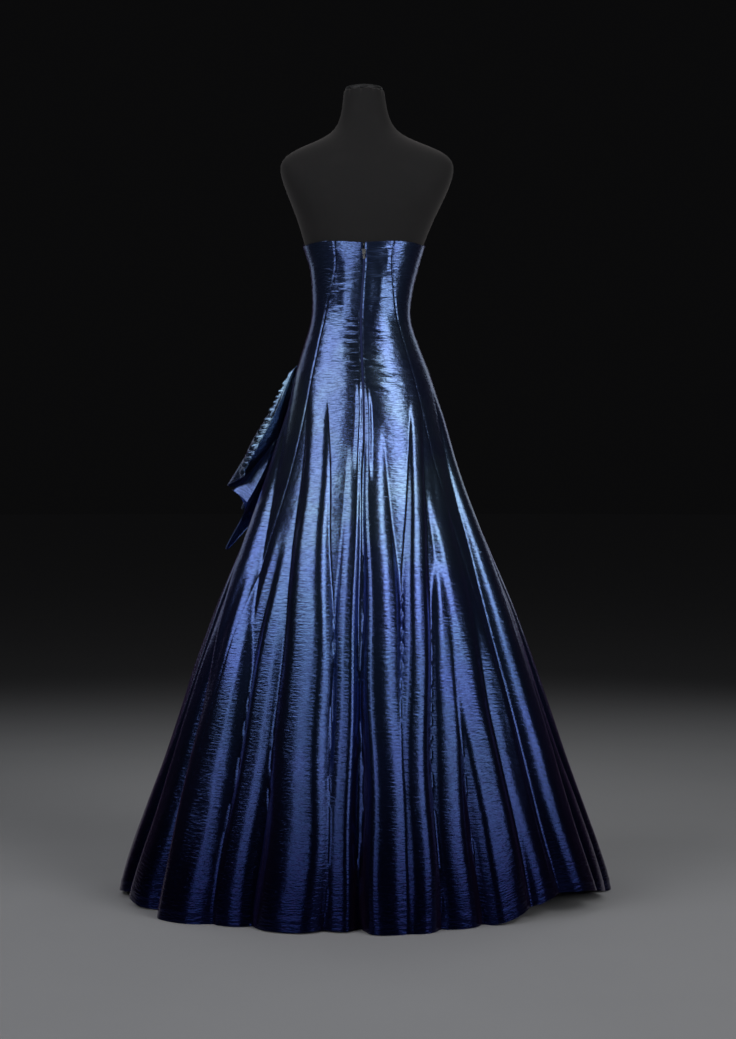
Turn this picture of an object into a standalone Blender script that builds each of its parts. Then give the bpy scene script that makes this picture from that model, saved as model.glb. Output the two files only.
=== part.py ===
"""A strapless princess-line evening gown on a limbless dress form.

Seven gores run from the top edge to the floor, a two-tier drape is gathered into the wearer's left hip, and a zip
closes the centre back. The form stands on a pole and a round base inside the skirt.

Sizes are in metres. +X is the wearer's right, the wearer faces +Y, +Z is up and the floor is z = 0. An angle goes
round the body in degrees from the centre back, 0, over the wearer's right side, 90, to the centre front, 180.
"""

from collections import namedtuple

import bmesh
import bpy
import numpy as np

# Driving dimensions of the gown
TOP = 1.290  # the top edge at the centre back
WAIST = 1.146
HEM = 0.001
CLOTH = 0.002  # the wall: cloth, interlining and boning together
SEAM = 0.0003  # the gap between two pieces
ZIP_TOP = 1.277
ZIP_END = 0.902
CHAIN_HALF = 0.0020  # half the width of the closed zip chain
ZIP_RUN_OUT = 0.030  # the height over which the seam closes below the zip

# Bust cups, set into the princess seams
CUP_OUT = 0.030
CUP_ANGLE = 147
CUP_HEIGHT = 1.236
CUP_WIDTH = 21  # degrees
CUP_RISE = 0.046

# The hollow along the spine
SPINE_IN = 0.003
SPINE_HEIGHT = 1.175
SPINE_WIDTH = 17  # degrees
SPINE_RISE = 0.085

# Driving dimensions of the dress form and its stand
FORM_FOOT = 0.860
FORM_EASE = 0.0015  # between the form and the bodice
HIP_EASE = 0.09  # how fast the form leaves the skirt below the hip, in metres a metre
HIP_TOP = 1.050
FOOT_ROUND = 0.016
NECK_TOP = 1.598
CAP_RADIUS = 0.037
CAP_THICK = 0.008
POLE_RADIUS = 0.012
BASE_RADIUS = 0.170
BASE_THICK = 0.014
HUB_RADIUS = 0.024
HUB_TOP = 0.036

# The zip's slider and pull tab, and the hook and eye above them
SLIDER_HEIGHT = 1.2705
SLIDER_SIZE = (0.0066, 0.0020, 0.0085)
BRIDGE_WIDTH = 0.0012
BRIDGE_SPAN = 0.0060
BRIDGE_OUT = 0.0023
BRIDGE_BAR = 0.0008
PULL_AXIS_UP = 0.0013  # the pull's axis above the slider's middle
PULL_WIDTH = 0.0040
PULL_THICK = 0.0008
PULL_LENGTH = 0.0165
WINDOW_WIDTH = 0.0020
WINDOW_TOP = 0.00045  # below the axis
WINDOW_END = 0.0051
HOOK_HEIGHT = 1.2835
HOOK_REACH = 0.0017  # from the centre back to the outer end of the hook and of the eye
HOOK_SIZE = (0.0019, 0.0012, 0.0030)
EYE_WIDTH = 0.0010

Section = namedtuple("Section", "height half shift back front")
# Half the width, the middle's shift to +X, and the depths behind and before the middle, from the floor up
GOWN_SECTIONS = (
    Section(0.000, 0.487, 0.000, 0.392, 0.385),
    Section(0.022, 0.483, 0.000, 0.388, 0.381),
    Section(0.086, 0.464, 0.000, 0.376, 0.368),
    Section(0.160, 0.438, 0.000, 0.358, 0.350),
    Section(0.256, 0.404, 0.000, 0.332, 0.325),
    Section(0.360, 0.370, 0.000, 0.305, 0.298),
    Section(0.446, 0.342, 0.000, 0.282, 0.275),
    Section(0.552, 0.306, 0.000, 0.252, 0.246),
    Section(0.682, 0.254, 0.000, 0.211, 0.206),
    Section(0.842, 0.190, 0.000, 0.158, 0.152),
    Section(0.988, 0.147, -0.001, 0.119, 0.110),
    Section(1.042, 0.132, -0.003, 0.106, 0.102),
    Section(1.090, 0.115, -0.005, 0.092, 0.095),
    Section(1.146, 0.099, -0.006, 0.083, 0.089),
    Section(1.204, 0.101, -0.003, 0.086, 0.095),
    Section(1.244, 0.108, 0.000, 0.091, 0.104),
    Section(1.290, 0.1215, 0.000, 0.096, 0.112),
    Section(1.330, 0.134, 0.003, 0.099, 0.112),
)

Shoulders = namedtuple("Shoulders", "height half shift back front square")
# The form above the gown: as the gown's sections, with how square the oval is (2 is an ellipse)
FORM_SECTIONS = (
    Shoulders(1.290, 0.1190, 0.000, 0.0935, 0.1095, 2.0),
    Shoulders(1.340, 0.1350, 0.003, 0.0960, 0.1030, 2.2),
    Shoulders(1.375, 0.1510, 0.005, 0.0950, 0.0930, 2.5),
    Shoulders(1.410, 0.1660, 0.006, 0.0900, 0.0770, 2.8),
    Shoulders(1.438, 0.1745, 0.006, 0.0810, 0.0640, 3.0),
    Shoulders(1.458, 0.1710, 0.006, 0.0720, 0.0550, 2.9),
    Shoulders(1.473, 0.1540, 0.006, 0.0650, 0.0500, 2.7),
    Shoulders(1.486, 0.1270, 0.005, 0.0590, 0.0470, 2.4),
    Shoulders(1.498, 0.0960, 0.004, 0.0540, 0.0460, 2.2),
    Shoulders(1.512, 0.0700, 0.003, 0.0500, 0.0450, 2.0),
    Shoulders(1.530, 0.0530, 0.002, 0.0475, 0.0435, 2.0),
    Shoulders(1.560, 0.0440, 0.001, 0.0455, 0.0420, 2.0),
    Shoulders(1.598, 0.0405, 0.000, 0.0440, 0.0410, 2.0),
)

Edge = namedtuple("Edge", "angle height")
# The top edge: nearly level at the back, a shallow sweetheart at the front, the same on both sides
TOP_EDGE = (
    Edge(0, 1.288),
    Edge(35, 1.292),
    Edge(90, 1.290),
    Edge(122, 1.306),
    Edge(147, 1.318),
    Edge(166, 1.306),
    Edge(180, 1.296),
)

Lift = namedtuple("Lift", "angle height")
# How far the hem is carried off the floor by the folds, round the whole hem
HEM_LIFTS = (
    Lift(-180, 0.000),
    Lift(-90, 0.002),
    Lift(-74, 0.014),
    Lift(-60, 0.002),
    Lift(-40, 0.000),
    Lift(-6, 0.003),
    Lift(10, 0.000),
    Lift(30, 0.000),
    Lift(44, 0.026),
    Lift(56, 0.042),
    Lift(70, 0.026),
    Lift(86, 0.002),
    Lift(180, 0.000),
)
LIFT_REACH = 0.35  # the height at which a lifted hem no longer moves the cloth

Seam = namedtuple("Seam", "height back side front")
# The angles of the princess seam at the back, the side seam and the princess seam at the front, the same on both sides
SEAMS = (
    Seam(0.000, 51, 91, 139),
    Seam(0.842, 50, 91, 140),
    Seam(1.042, 47, 90, 142),
    Seam(1.146, 46, 89, 144),
    Seam(1.244, 31, 87, 147),
    Seam(1.330, 27, 85, 148),
)

Fold = namedtuple("Fold", "angle start depth spread skew lean flare")
# Folds of the skirt: the crest's angle at the hem, the height where it starts, its depth at the hem, half its width in
# degrees, the share by which the side towards the larger angle is wider and the other side narrower, and how many
# degrees the crest has turned by its upper end, evenly and mostly near that end
FOLDS = (
    Fold(-171, 0.92, 0.044, 9.0, 0.0, 3, 0),
    Fold(-156, 1.00, 0.056, 11.0, 0.0, 5, 0),
    Fold(-138, 0.92, 0.050, 10.0, 0.0, 3, 0),
    Fold(-119, 0.84, 0.044, 10.0, 0.0, -2, 0),
    Fold(-102, 0.90, 0.054, 10.5, 0.0, -3, 0),
    Fold(-84, 0.84, 0.042, 9.5, 0.0, -2, 0),
    Fold(-67, 0.86, 0.040, 9.0, 0.1, -4, 0),
    Fold(-48, 1.00, 0.060, 11.0, 0.3, -10, -40),
    Fold(-33, 0.74, 0.034, 6.5, 0.2, -4, 0),
    Fold(-15, 1.04, 0.052, 10.0, -0.2, -2, -22),
    Fold(-5, 0.95, 0.032, 4.5, -0.3, 0, 0),
    Fold(4, 0.97, 0.052, 7.5, 0.4, 0, 0),
    Fold(12, 1.02, 0.046, 6.0, 0.1, 4, 30),
    Fold(22, 0.92, 0.026, 6.5, 0.0, 4, 36),
    Fold(35, 0.86, 0.031, 8.0, 0.3, -2, 12),
    Fold(48, 0.66, 0.029, 7.5, 0.0, 2, 0),
    Fold(62, 1.04, 0.058, 9.5, -0.1, -2, 26),
    Fold(77, 0.80, 0.040, 9.5, 0.0, 3, 0),
    Fold(93, 0.88, 0.050, 10.0, 0.0, 0, 0),
    Fold(110, 0.84, 0.050, 10.5, 0.0, -3, 0),
    Fold(128, 0.90, 0.050, 10.0, 0.0, -3, 0),
    Fold(145, 0.98, 0.056, 10.0, 0.0, -5, 0),
    Fold(160, 0.86, 0.044, 9.0, 0.0, -3, 0),
    Fold(175, 1.00, 0.058, 9.5, 0.0, 0, 0),
)
FOLD_SINK = 0.038  # how far the cloth between folds lies inside the smooth skirt, at the hem
SKIRT_START = 1.000
FOLD_POWER = 2.8  # how flat a fold's crest is: 2 is a parabola
FOLD_FLANK = 0.25  # how far below the cloth between folds a flank runs, as a share of the fold's depth
FOLD_BLEND = 0.0028  # how softly the folds run into each other at the hem, and at the waist
BLEND_LEAST = 0.00002
WANDER, WANDER_RISE = 0.06, 0.37  # each crest wanders a little: how far, as a share of its spread, and how often
WANDER_STOP = 4  # how fast the wandering ends below a crest's upper end

Tier = namedtuple("Tier", "name top top_angles foot_angles")
Flute = namedtuple("Flute", "share foot out")
# Each tier of the hip drape is gathered at its top and hangs in flutes: across its width, the height of its lower edge
# and how far that stands off the skirt
UPPER_TIER = Tier("hip_drape_upper", 1.052, (-86, -114), (-83, -134))
UPPER_FLUTES = (
    Flute(0.00, 0.832, 0.044),
    Flute(0.20, 0.813, 0.078),
    Flute(0.41, 0.806, 0.022),
    Flute(0.62, 0.764, 0.062),
    Flute(0.82, 0.802, 0.020),
    Flute(1.00, 0.846, 0.034),
)
LOWER_TIER = Tier("hip_drape_lower", 0.906, (-90, -118), (-88, -126))
LOWER_FLUTES = (
    Flute(0.00, 0.780, 0.024),
    Flute(0.12, 0.804, 0.064),
    Flute(0.26, 0.764, 0.024),
    Flute(0.39, 0.686, 0.033),
    Flute(0.59, 0.738, 0.010),
    Flute(0.78, 0.700, 0.030),
    Flute(1.00, 0.768, 0.012),
)
FLARE = 0.95  # the power with which a tier leaves the skirt on its way down

# How finely the walls are laid out
BODICE_ROWS = 7
SKIRT_ROWS = 13
ROW_SPREAD = 1.30
ROW_CLEAR = 0.016  # no row lies nearer than this to the rows at the zip's end
BACK_COLUMNS = 20
SIDE_BACK_COLUMNS = 14
SIDE_FRONT_COLUMNS = 16
FRONT_COLUMNS = 26
FORM_COLUMNS = 40
TIER_COLUMNS = 24
TIER_ROWS = 8
ROUND_SIDES = 32
STEP = 1e-4  # for slopes, as a share of a surface's own coordinates

Finish = namedtuple("Finish", "colour roughness metallic")
FINISHES = {
    "taffeta": Finish((0.035, 0.085, 0.330, 1), 0.30, 0.35),
    "form_jersey": Finish((0.006, 0.006, 0.007, 1), 0.90, 0.0),
    "stand_paint": Finish((0.010, 0.010, 0.011, 1), 0.40, 0.0),
    "zip_chain": Finish((0.010, 0.018, 0.070, 1), 0.45, 0.0),
    "nickel": Finish((0.660, 0.670, 0.690, 1), 0.22, 1.0),
}


def clear_scene():
    for obj in list(bpy.data.objects):
        bpy.data.objects.remove(obj, do_unlink=True)


def finish(name):
    """The finish's material, made once."""
    made = bpy.data.materials.get(name)
    if made:
        return made
    made = bpy.data.materials.new(name)
    made.use_nodes = True
    shader = made.node_tree.nodes["Principled BSDF"]
    shader.inputs["Base Color"].default_value = FINISHES[name].colour
    shader.inputs["Roughness"].default_value = FINISHES[name].roughness
    shader.inputs["Metallic"].default_value = FINISHES[name].metallic
    return made


def add_piece(name, finish_name, mesh, sharp_angle=0.7):
    """The bmesh as a named object, its faces pointing out."""
    bmesh.ops.recalc_face_normals(mesh, faces=mesh.faces)
    data = bpy.data.meshes.new(name)
    mesh.to_mesh(data)
    mesh.free()
    data.materials.append(finish(finish_name))
    data.shade_smooth()
    data.set_sharp_from_angle(angle=sharp_angle)
    piece = bpy.data.objects.new(name, data)
    bpy.context.collection.objects.link(piece)
    return piece


def through(table, column, at):
    """A smooth curve through a table's column, read at the values `at` of its first column."""
    places = np.array([row[0] for row in table], float)
    values = np.array([getattr(row, column) for row in table], float)
    slopes = np.gradient(values, places)
    i = np.clip(np.searchsorted(places, at) - 1, 0, len(places) - 2)
    run = places[i + 1] - places[i]
    t = np.clip((at - places[i]) / run, 0, 1)
    ends = values[i] * (1 + 2 * t) * (1 - t) ** 2 + values[i + 1] * t * t * (3 - 2 * t)
    return ends + run * (slopes[i] * t * (1 - t) ** 2 - slopes[i + 1] * t * t * (1 - t))


def wrapped(angle):
    return (angle + 180) % 360 - 180


def bell(distance):
    return np.exp(-(distance**2))


def ring_point(angle, height, out):
    """The point of the gown's oval at this angle and height, moved out of it in its own plane."""
    turn = np.radians(angle)
    side, away = np.sin(turn), -np.cos(turn)
    half = through(GOWN_SECTIONS, "half", height)
    back, front = through(GOWN_SECTIONS, "back", height), through(GOWN_SECTIONS, "front", height)
    depth = np.where(away < 0, back, front)
    slope = np.hypot(side / half, away / depth)
    x = through(GOWN_SECTIONS, "shift", height) + side * (half + out / half / slope)
    y = away * (depth + out / depth / slope)
    return np.stack([x, y, height + 0 * x], axis=-1)


def figure_out(angle, height):
    """How far the cups and the hollow of the spine take the bodice out of its plain ovals."""
    around = np.abs(wrapped(angle))
    cup = bell((around - CUP_ANGLE) / CUP_WIDTH) * bell((height - CUP_HEIGHT) / CUP_RISE)
    spine = bell(around / SPINE_WIDTH) * bell((height - SPINE_HEIGHT) / SPINE_RISE)
    return CUP_OUT * cup - SPINE_IN * spine


def fold_out(angle, height):
    """How far the skirt's folds stand out, with the cloth between them sunk in. Where two folds meet, the higher one
    shows and the other dies away under it."""
    growth = np.clip(1 - height / SKIRT_START, 0, 1)
    blend = np.maximum(FOLD_BLEND * growth, BLEND_LEAST)
    total = 1 + 0 * (angle + height)
    for i, fold in enumerate(FOLDS):
        up = np.clip(height / fold.start, 0, 1)
        wander = np.sin(2 * np.pi * (height / WANDER_RISE + WANDER_RISE * i))
        wander = WANDER * np.clip(WANDER_STOP * (1 - up), 0, 1) * wander
        off = wrapped(angle - fold.angle - fold.lean * up - fold.flare * up**3) / fold.spread + wander
        off = np.abs(off) / (1 + fold.skew * np.sign(off))
        crest = fold.depth * (1 - up) * np.clip(1 - off**FOLD_POWER, -FOLD_FLANK, 1)
        total = total + np.exp(crest / blend)
    return blend * np.log(total) - FOLD_SINK * growth


def real_height(angle, level):
    """The height of a row. The rows spread to meet the top edge above the waist, and the lifted hem near the floor."""
    top = through(TOP_EDGE, "height", np.abs(wrapped(angle)))
    lift = np.clip(through(HEM_LIFTS, "height", wrapped(angle)), 0, None) * np.clip(1 - level / LIFT_REACH, 0, 1)
    return np.where(level > WAIST, WAIST + (level - WAIST) * (top - WAIST) / (TOP - WAIST), level + lift)


def gown_point(angle, level, out=0.0):
    """A point of the gown's outer face, or `out` in front of it."""
    height = real_height(angle, level)
    return ring_point(angle, height, figure_out(angle, height) + fold_out(angle, height) + out)


def levels():
    """The rows of the gown from the top edge to the hem, closer together at the waist, with one at each end of the
    run-out below the zip."""
    bodice = np.linspace(TOP, WAIST, BODICE_ROWS)
    skirt = WAIST - (WAIST - HEM) * (np.arange(1, SKIRT_ROWS + 1) / SKIRT_ROWS) ** ROW_SPREAD
    run_out = (ZIP_END, ZIP_END - ZIP_RUN_OUT)
    clear = [level for level in skirt if min(abs(level - end) for end in run_out) > ROW_CLEAR]
    return np.array(sorted([*bodice, *clear, *run_out], reverse=True))


def wall_faces(surface, across, down, thickness=CLOTH):
    """The outer and inner faces of a wall whose outer face is surface(across, down)."""
    slope_across = surface(across + STEP, down) - surface(across - STEP, down)
    slope_down = surface(across, down + STEP) - surface(across, down - STEP)
    normal = np.cross(slope_across, slope_down)
    normal /= np.linalg.norm(normal, axis=-1, keepdims=True)
    outer = surface(across, down)
    outward = np.sign(np.sum(normal * outer * [1, 1, 0], axis=-1).mean())
    return outer, outer - outward * thickness * normal


def grid_wall(outer, inner):
    """A closed bmesh between two grids of points, rows by columns."""
    mesh = bmesh.new()
    front = [[mesh.verts.new(point) for point in row] for row in outer]
    back = [[mesh.verts.new(point) for point in row] for row in inner]
    rows, columns = len(front), len(front[0])
    for j in range(rows - 1):
        for i in range(columns - 1):
            for face in (front, back):
                mesh.faces.new((face[j][i], face[j][i + 1], face[j + 1][i + 1], face[j + 1][i]))
    for j in range(rows - 1):
        for i in (0, columns - 1):
            mesh.faces.new((front[j][i], front[j + 1][i], back[j + 1][i], back[j][i]))
    for i in range(columns - 1):
        for j in (0, rows - 1):
            mesh.faces.new((front[j][i], front[j][i + 1], back[j][i + 1], back[j][i]))
    return mesh


def parted(angle, level, gap):
    """The angle of an edge that lies a gap away from a seam along the cloth."""
    along = np.linalg.norm(gown_point(angle + 0.05, level) - gown_point(angle - 0.05, level), axis=-1) / 0.1
    return angle + gap / along


def zip_gap(level):
    """Half the gap at the centre back: wide enough for the chain along the zip, and a seam below it."""
    shut = np.clip((ZIP_END - level) / ZIP_RUN_OUT, 0, 1)
    return (CHAIN_HALF + SEAM) * (1 - shut) + SEAM / 2 * shut


def seam_gap(level):
    return SEAM / 2 + 0 * level


def add_gore(name, first, last, columns, first_gap=seam_gap, last_gap=seam_gap):
    """A gore between two seams, each a function of the level that gives an angle."""

    def surface(across, down):
        start = parted(first(down), down, first_gap(down))
        end = parted(last(down), down, -last_gap(down))
        return gown_point(start + (end - start) * across, down)

    across, down = np.meshgrid(np.linspace(0, 1, columns + 1), levels())
    outer, inner = wall_faces(surface, across, down)
    add_piece(name, "taffeta", grid_wall(outer, inner))


def seam(column, side):
    """A seam as a function of the level: +1 at the wearer's right, -1 at the left."""
    return lambda level: side * through(SEAMS, column, level)


def centre_back(level):
    return 0 * level


def left_front_seam_from_right(level):
    """The left front princess seam, counted on from the right so that the centre front gore runs over 180."""
    return 360 - through(SEAMS, "front", level)


def add_gores():
    for side, word in ((1, "right"), (-1, "left")):
        spans = (
            ("side_back_", "back", "side", SIDE_BACK_COLUMNS),
            ("side_front_", "side", "front", SIDE_FRONT_COLUMNS),
        )
        for name, near, far, columns in spans:
            ends = (seam(near, side), seam(far, side))[::side]
            add_gore(name + word, *ends, columns)
    add_gore("centre_back_right", centre_back, seam("back", 1), BACK_COLUMNS, first_gap=zip_gap)
    add_gore("centre_back_left", seam("back", -1), centre_back, BACK_COLUMNS, last_gap=zip_gap)
    add_gore("centre_front", seam("front", 1), left_front_seam_from_right, FRONT_COLUMNS)


def add_tier(tier, flutes):
    """One tier of the hip drape, from its gathered top to its fluted lower edge."""

    def surface(across, down):
        share = np.clip(across, 0, 1)
        foot = through(flutes, "foot", share)
        angle_top = tier.top_angles[0] + (tier.top_angles[1] - tier.top_angles[0]) * across
        angle_foot = tier.foot_angles[0] + (tier.foot_angles[1] - tier.foot_angles[0]) * across
        angle = angle_top + (angle_foot - angle_top) * down
        stand_off = through(flutes, "out", share) * np.clip(down, 0, None) ** FLARE
        return gown_point(angle, tier.top + (foot - tier.top) * down, CLOTH + SEAM + stand_off)

    across, down = np.meshgrid(np.linspace(0, 1, TIER_COLUMNS + 1), np.linspace(0, 1, TIER_ROWS + 1))
    outer, inner = wall_faces(surface, across, down)
    add_piece(tier.name, "taffeta", grid_wall(outer, inner))


def add_zip_chain():
    """The closed chain, lying between the two back gores."""
    rows = [level for level in levels() if ZIP_END < level < ZIP_TOP]
    across, down = np.meshgrid([-1.0, 1.0], [ZIP_TOP, *rows, ZIP_END])

    def surface(side, level):
        return gown_point(parted(0 * level, level, CHAIN_HALF * side), level, -0.2 * CLOTH)

    outer, inner = wall_faces(surface, across, down, 0.6 * CLOTH)
    add_piece("zip_chain", "zip_chain", grid_wall(outer, inner))


def box(mesh, low, high):
    """A box between two corners, in a bmesh."""
    made = bmesh.ops.create_cube(mesh, size=1)["verts"]
    size = [b - a for a, b in zip(low, high)]
    middle = [(a + b) / 2 for a, b in zip(low, high)]
    bmesh.ops.scale(mesh, vec=size, verts=made)
    bmesh.ops.translate(mesh, vec=middle, verts=made)
    return made


def slider_face():
    """The y of the slider's back, a seam's gap off the cloth, at the height where the cloth stands out furthest."""
    reach = SLIDER_SIZE[2] / 2
    heights = np.linspace(SLIDER_HEIGHT - reach, SLIDER_HEIGHT + reach, 5)
    return float(gown_point(0 * heights, heights)[:, 1].min()) - SEAM


def boolean(piece, cutter, operation):
    cutter.hide_render = True
    cutter.display_type = "WIRE"
    modifier = piece.modifiers.new(operation.lower(), "BOOLEAN")
    modifier.operation = operation
    modifier.object = cutter


def add_box(name, finish_name, low, high):
    mesh = bmesh.new()
    box(mesh, low, high)
    return add_piece(name, finish_name, mesh)


def add_slider():
    """The slider's body with the bridge that holds the pull tab."""
    wide, deep, tall = SLIDER_SIZE
    back = slider_face()
    front = back - deep
    slider = add_box(
        "zip_slider",
        "nickel",
        (-wide / 2, front, SLIDER_HEIGHT - tall / 2),
        (wide / 2, back, SLIDER_HEIGHT + tall / 2),
    )
    bridge = add_box(
        "bridge_shape",
        "nickel",
        (-BRIDGE_WIDTH / 2, front - BRIDGE_OUT, SLIDER_HEIGHT - BRIDGE_SPAN / 2),
        (BRIDGE_WIDTH / 2, front + deep / 2, SLIDER_HEIGHT + BRIDGE_SPAN / 2),
    )
    slot = add_box(
        "slot_shape",
        "nickel",
        (-BRIDGE_WIDTH, front - BRIDGE_OUT + BRIDGE_BAR, SLIDER_HEIGHT - BRIDGE_SPAN / 2 + BRIDGE_BAR),
        (BRIDGE_WIDTH, front, SLIDER_HEIGHT + BRIDGE_SPAN / 2 - BRIDGE_BAR),
    )
    boolean(slider, bridge, "UNION")
    boolean(slider, slot, "DIFFERENCE")


def pull_axis():
    """The pull tab's axis: its y and its height, in the middle of the bridge's slot."""
    slot = BRIDGE_OUT - BRIDGE_BAR
    return slider_face() - SLIDER_SIZE[1] - slot / 2, SLIDER_HEIGHT + PULL_AXIS_UP


def add_pull():
    """The pull tab hangs from its crossbar, which passes through the bridge. Its outline widens to a round end."""
    y, height = pull_axis()
    neck, end = PULL_WIDTH / 2, PULL_WIDTH / 2 * 1.25
    round_middle = PULL_LENGTH - end
    arc = np.radians(np.linspace(0, 180, 9))
    outline = [(-neck, PULL_THICK / 2), (-neck, -WINDOW_END)]
    outline += [(-end * np.cos(t), -round_middle - end * np.sin(t)) for t in arc]
    outline += [(neck, -WINDOW_END), (neck, PULL_THICK / 2)]
    mesh = bmesh.new()
    rim = [mesh.verts.new((x, -PULL_THICK / 2, z)) for x, z in outline]
    face = mesh.faces.new(rim)
    made = bmesh.ops.extrude_face_region(mesh, geom=[face])["geom"]
    bmesh.ops.translate(
        mesh, vec=(0, PULL_THICK, 0), verts=[v for v in made if isinstance(v, bmesh.types.BMVert)]
    )
    pull = add_piece("zip_pull", "nickel", mesh)
    window = add_box(
        "window_shape",
        "nickel",
        (-WINDOW_WIDTH / 2, -PULL_THICK, -WINDOW_END),
        (WINDOW_WIDTH / 2, PULL_THICK, -WINDOW_TOP),
    )
    window.parent = pull
    boolean(pull, window, "DIFFERENCE")
    pull.location = (0, y, height)


def add_hook_and_eye():
    """The hook reaches from the left gore towards the eye on the right one, both in the gap above the zip."""
    wide, deep, tall = HOOK_SIZE
    face = float(gown_point(np.zeros(1), np.full(1, HOOK_HEIGHT))[0, 1]) + SEAM
    left = -HOOK_REACH
    low, high = HOOK_HEIGHT - tall / 2, HOOK_HEIGHT + tall / 2
    hook = add_box("hook", "nickel", (left, face, low), (left + wide, face + deep, high))
    notch = add_box(
        "notch_shape",
        "nickel",
        (left + wide * 0.62, face - deep, low + tall * 0.3),
        (left + wide * 2, face + deep * 0.5, high - tall * 0.3),
    )
    boolean(hook, notch, "DIFFERENCE")
    add_box("eye", "nickel", (HOOK_REACH - EYE_WIDTH, face, low), (HOOK_REACH, face + deep, high))


def shoulder_ring(section, angle):
    """The ring of points of one of the form's sections above the gown."""
    side, away = np.sin(np.radians(angle)), -np.cos(np.radians(angle))
    depth = np.where(away < 0, section.back, section.front)
    x = section.shift + section.half * np.sign(side) * np.abs(side) ** (2 / section.square)
    y = depth * np.sign(away) * np.abs(away) ** (2 / section.square)
    return np.stack([x, y, section.height + 0 * x], axis=-1)


def form_rings():
    """The rings of points of the form's torso, from its foot to the top of its neck."""

    def surface(angle, level):
        height = real_height(angle, level)
        ease = HIP_EASE * np.clip(HIP_TOP - height, 0, None)
        return ring_point(angle, height, figure_out(angle, height) - ease)

    angle = np.arange(FORM_COLUMNS) * 360 / FORM_COLUMNS
    clothed = [level for level in levels()[::-1] if level > FORM_FOOT]
    rings = list(wall_faces(surface, *np.meshgrid(angle, clothed), CLOTH + FORM_EASE)[1])
    foot = rings[0] * [1, 1, 0] + [0, 0, FORM_FOOT]
    inner = 1 - FOOT_ROUND / FORM_SECTIONS[0].half
    rings.insert(0, foot * [inner, inner, 1])
    rings += [shoulder_ring(section, angle) for section in FORM_SECTIONS[1:]]
    return rings


def add_form():
    mesh = bmesh.new()
    rings = [[mesh.verts.new(point) for point in ring] for ring in form_rings()]
    for lower, upper in zip(rings, rings[1:]):
        for i in range(FORM_COLUMNS):
            j = (i + 1) % FORM_COLUMNS
            mesh.faces.new((lower[i], lower[j], upper[j], upper[i]))
    mesh.faces.new(rings[0])
    mesh.faces.new(rings[-1])
    add_piece("form_torso", "form_jersey", mesh)


def add_turned(name, finish_name, profile):
    """A solid of revolution about the vertical axis through the origin, from its outline of (radius, height)."""
    mesh = bmesh.new()
    line = [mesh.verts.new((radius, 0, height)) for radius, height in profile]
    edges = [mesh.edges.new(pair) for pair in zip(line, line[1:])]
    bmesh.ops.spin(
        mesh,
        geom=line + edges,
        axis=(0, 0, 1),
        cent=(0, 0, 0),
        angle=2 * np.pi,
        steps=ROUND_SIDES,
        use_merge=True,
    )
    bmesh.ops.remove_doubles(mesh, verts=mesh.verts, dist=1e-6)
    return add_piece(name, finish_name, mesh)


def add_stand():
    """The round base with its hub, the pole, and the cap on the form's neck."""
    rim = BASE_THICK / 2
    add_turned(
        "base_disc",
        "stand_paint",
        (
            (0, 0),
            (BASE_RADIUS - rim / 2, 0),
            (BASE_RADIUS, rim / 2),
            (BASE_RADIUS, rim),
            (BASE_RADIUS - rim, BASE_THICK),
            (HUB_RADIUS, BASE_THICK + rim / 2),
            (HUB_RADIUS - rim / 4, HUB_TOP),
            (0, HUB_TOP),
        ),
    )
    low, high = HUB_TOP + SEAM, FORM_FOOT - SEAM
    add_turned("pole", "stand_paint", ((0, low), (POLE_RADIUS, low), (POLE_RADIUS, high), (0, high)))
    low = NECK_TOP + SEAM
    add_turned(
        "neck_cap",
        "stand_paint",
        (
            (0, low),
            (CAP_RADIUS, low),
            (CAP_RADIUS, low + CAP_THICK / 2),
            (CAP_RADIUS * 0.93, low + CAP_THICK * 0.85),
            (CAP_RADIUS * 0.8, low + CAP_THICK),
            (0, low + CAP_THICK),
        ),
    )


def main():
    clear_scene()
    add_gores()
    add_tier(UPPER_TIER, UPPER_FLUTES)
    add_tier(LOWER_TIER, LOWER_FLUTES)
    add_zip_chain()
    add_slider()
    add_pull()
    add_hook_and_eye()
    add_form()
    add_stand()


main()
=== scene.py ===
"""The evening gown in shot taffeta on its dress form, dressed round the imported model.

Sizes are in metres. +X is the wearer's right, the wearer faces +Y, +Z is up and the floor is z = 0.
An angle goes round the body in degrees: from the centre back, 0, over the wearer's right side, 90, to
the centre front, 180. A level is a height as it was before the top edge and the hem are shaped.
"""

from collections import namedtuple

import bmesh
import bpy
import numpy as np
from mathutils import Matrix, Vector


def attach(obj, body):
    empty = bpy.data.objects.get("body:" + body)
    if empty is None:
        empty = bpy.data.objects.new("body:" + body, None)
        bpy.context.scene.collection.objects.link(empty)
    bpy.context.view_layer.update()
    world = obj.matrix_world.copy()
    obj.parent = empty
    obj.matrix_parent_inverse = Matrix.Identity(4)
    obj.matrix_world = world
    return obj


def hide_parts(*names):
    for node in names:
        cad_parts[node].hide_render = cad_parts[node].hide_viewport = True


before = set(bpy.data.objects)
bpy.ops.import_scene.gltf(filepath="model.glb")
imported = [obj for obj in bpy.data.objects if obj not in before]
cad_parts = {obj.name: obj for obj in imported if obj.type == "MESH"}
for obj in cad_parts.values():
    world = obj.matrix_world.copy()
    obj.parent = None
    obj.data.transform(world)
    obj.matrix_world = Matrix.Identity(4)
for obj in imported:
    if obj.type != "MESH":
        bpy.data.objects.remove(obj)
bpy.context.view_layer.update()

# The gown's own sizes, as in the CAD model
TOP = 1.290  # the top edge at the centre back
WAIST = 1.146
HEM = 0.001
GAP = 0.0003  # between two pieces
WALL = 0.002  # the thickness of the gown's solids
ZIP_TOP = 1.277
ZIP_END = 0.902
ZIP_RUN_OUT = 0.030  # the height below the zip's end over which its opening narrows to a seam
CHAIN_HALF = 0.0020  # half the width of the zip's chain

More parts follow.
